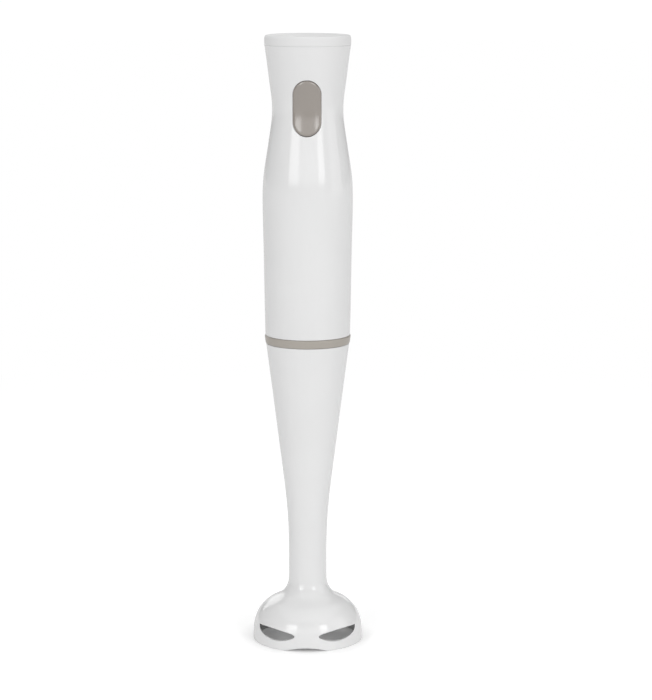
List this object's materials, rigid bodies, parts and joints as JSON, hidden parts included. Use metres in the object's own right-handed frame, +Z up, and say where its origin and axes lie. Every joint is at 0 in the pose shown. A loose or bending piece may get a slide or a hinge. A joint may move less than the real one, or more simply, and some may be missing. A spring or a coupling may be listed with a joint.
{
  "type": "immersion blender",
  "caption": "Slim hand-held immersion blender with a waisted handle, one upright power button, a twist-lock tapering foot and a slotted bell guard over a spinning blade.",
  "frame": {"origin": "on the long axis, at the bottom rim of the bell, the face the blender stands on", "axes": "+Z up along the long axis to the top cap, -Y to the front, the side with the power button, +X to the right seen from the front"},
  "size_m": [0.0654, 0.0652, 0.36],
  "materials": {
    "housing": "satin gloss",
    "trim": "satin",
    "button": "gloss",
    "inner_grey": "moulded",
    "rubber": "matte",
    "steel": "ground",
    "screw_steel": "zinc plated",
    "blade_steel": "fine brushed",
    "hub_plastic": "moulded",
    "ferrite": "sintered",
    "lamination": "stacked sheet",
    "dark_plastic": "moulded",
    "capacitor": "moulded",
    "board": "solder mask",
    "carbon": "pressed",
    "copper": "enamelled",
    "bronze": "sintered",
    "plunger_red": "moulded",
    "lead_red": "extruded",
    "lead_dark": "extruded",
    "lead_blue": "extruded",
    "lead_brown": "extruded"
  },
  "bodies": {
    "motor_unit": {"front_housing": "housing", "rear_housing": "housing", "top_cap": "housing", "trim_ring": "trim", "motor_base": "inner_grey", "switch_bracket": "inner_grey", "lower_motor_mount": "rubber", "upper_motor_mount": "rubber", "cord_gland": "rubber", "motor_can": "steel", "bearing_lower": "steel", "bearing_upper": "steel", "brush_spring_left": "steel", "brush_spring_right": "steel", "button_return_spring": "steel", "housing_screw_upper": "screw_steel", "housing_screw_lower_left": "screw_steel", "housing_screw_lower_right": "screw_steel", "cord_clamp_screw_left": "screw_steel", "cord_clamp_screw_right": "screw_steel", "magnet_left": "ferrite", "magnet_right": "ferrite", "end_bell": "dark_plastic", "micro_switch": "dark_plastic", "bridge_rectifier": "dark_plastic", "cord_clamp": "dark_plastic", "suppression_capacitor": "capacitor", "control_board": "board", "carbon_brush_left": "carbon", "carbon_brush_right": "carbon", "motor_lead_1": "lead_red", "motor_lead_2": "lead_dark", "switch_lead_1": "lead_blue", "switch_lead_2": "lead_brown"},
    "rotor": {"motor_shaft": "steel", "armature_core": "lamination", "armature_windings": "copper", "commutator": "copper", "cooling_fan": "dark_plastic", "drive_coupling": "dark_plastic"},
    "blade_shaft": {"blade_shaft": "steel", "shaft_coupling": "hub_plastic", "shaft_circlip": "steel", "thrust_washer": "steel", "blade_hub": "hub_plastic", "blade": "blade_steel", "blade_nut": "blade_steel"},
    "foot": {"foot_shell": "housing", "foot_lock_ring": "inner_grey", "upper_bearing_plate": "inner_grey", "upper_bushing": "bronze", "lower_bushing": "bronze", "shaft_seal": "rubber"},
    "power_button": {"power_button": "button"},
    "switch_plunger": {"switch_plunger": "plunger_red"}
  },
  "joints": [
    {"name": "foot_twist", "type": "hinge", "parent": "motor_unit", "child": "foot", "pos_m": [0, 0, 0.1757], "axis": [0, 0, 1], "range_deg": [0, 30]},
    {"name": "motor_spin", "type": "hinge", "parent": "motor_unit", "child": "rotor", "pos_m": [0, 0, 0.226], "axis": [0, 0, 1], "continuous": true},
    {"name": "blade_spin", "type": "hinge", "parent": "motor_unit", "child": "blade_shaft", "pos_m": [0, 0, 0.165], "axis": [0, 0, 1], "continuous": true},
    {"name": "button_press", "type": "slide", "parent": "motor_unit", "child": "power_button", "axis": [0, 1, 0], "range_m": [0, 0.002], "stiffness_N_per_m": 1200, "springref_m": -0.0015, "deforming": ["button_return_spring"]},
    {"name": "plunger_travel", "type": "slide", "parent": "motor_unit", "child": "switch_plunger", "axis": [0, 1, 0], "range_m": [0, 0.002]}
  ],
  "couplings": [
    {"joint": "blade_spin", "follows": "motor_spin", "ratio": 1},
    {"joint": "plunger_travel", "follows": "button_press", "ratio": 1}
  ]
}
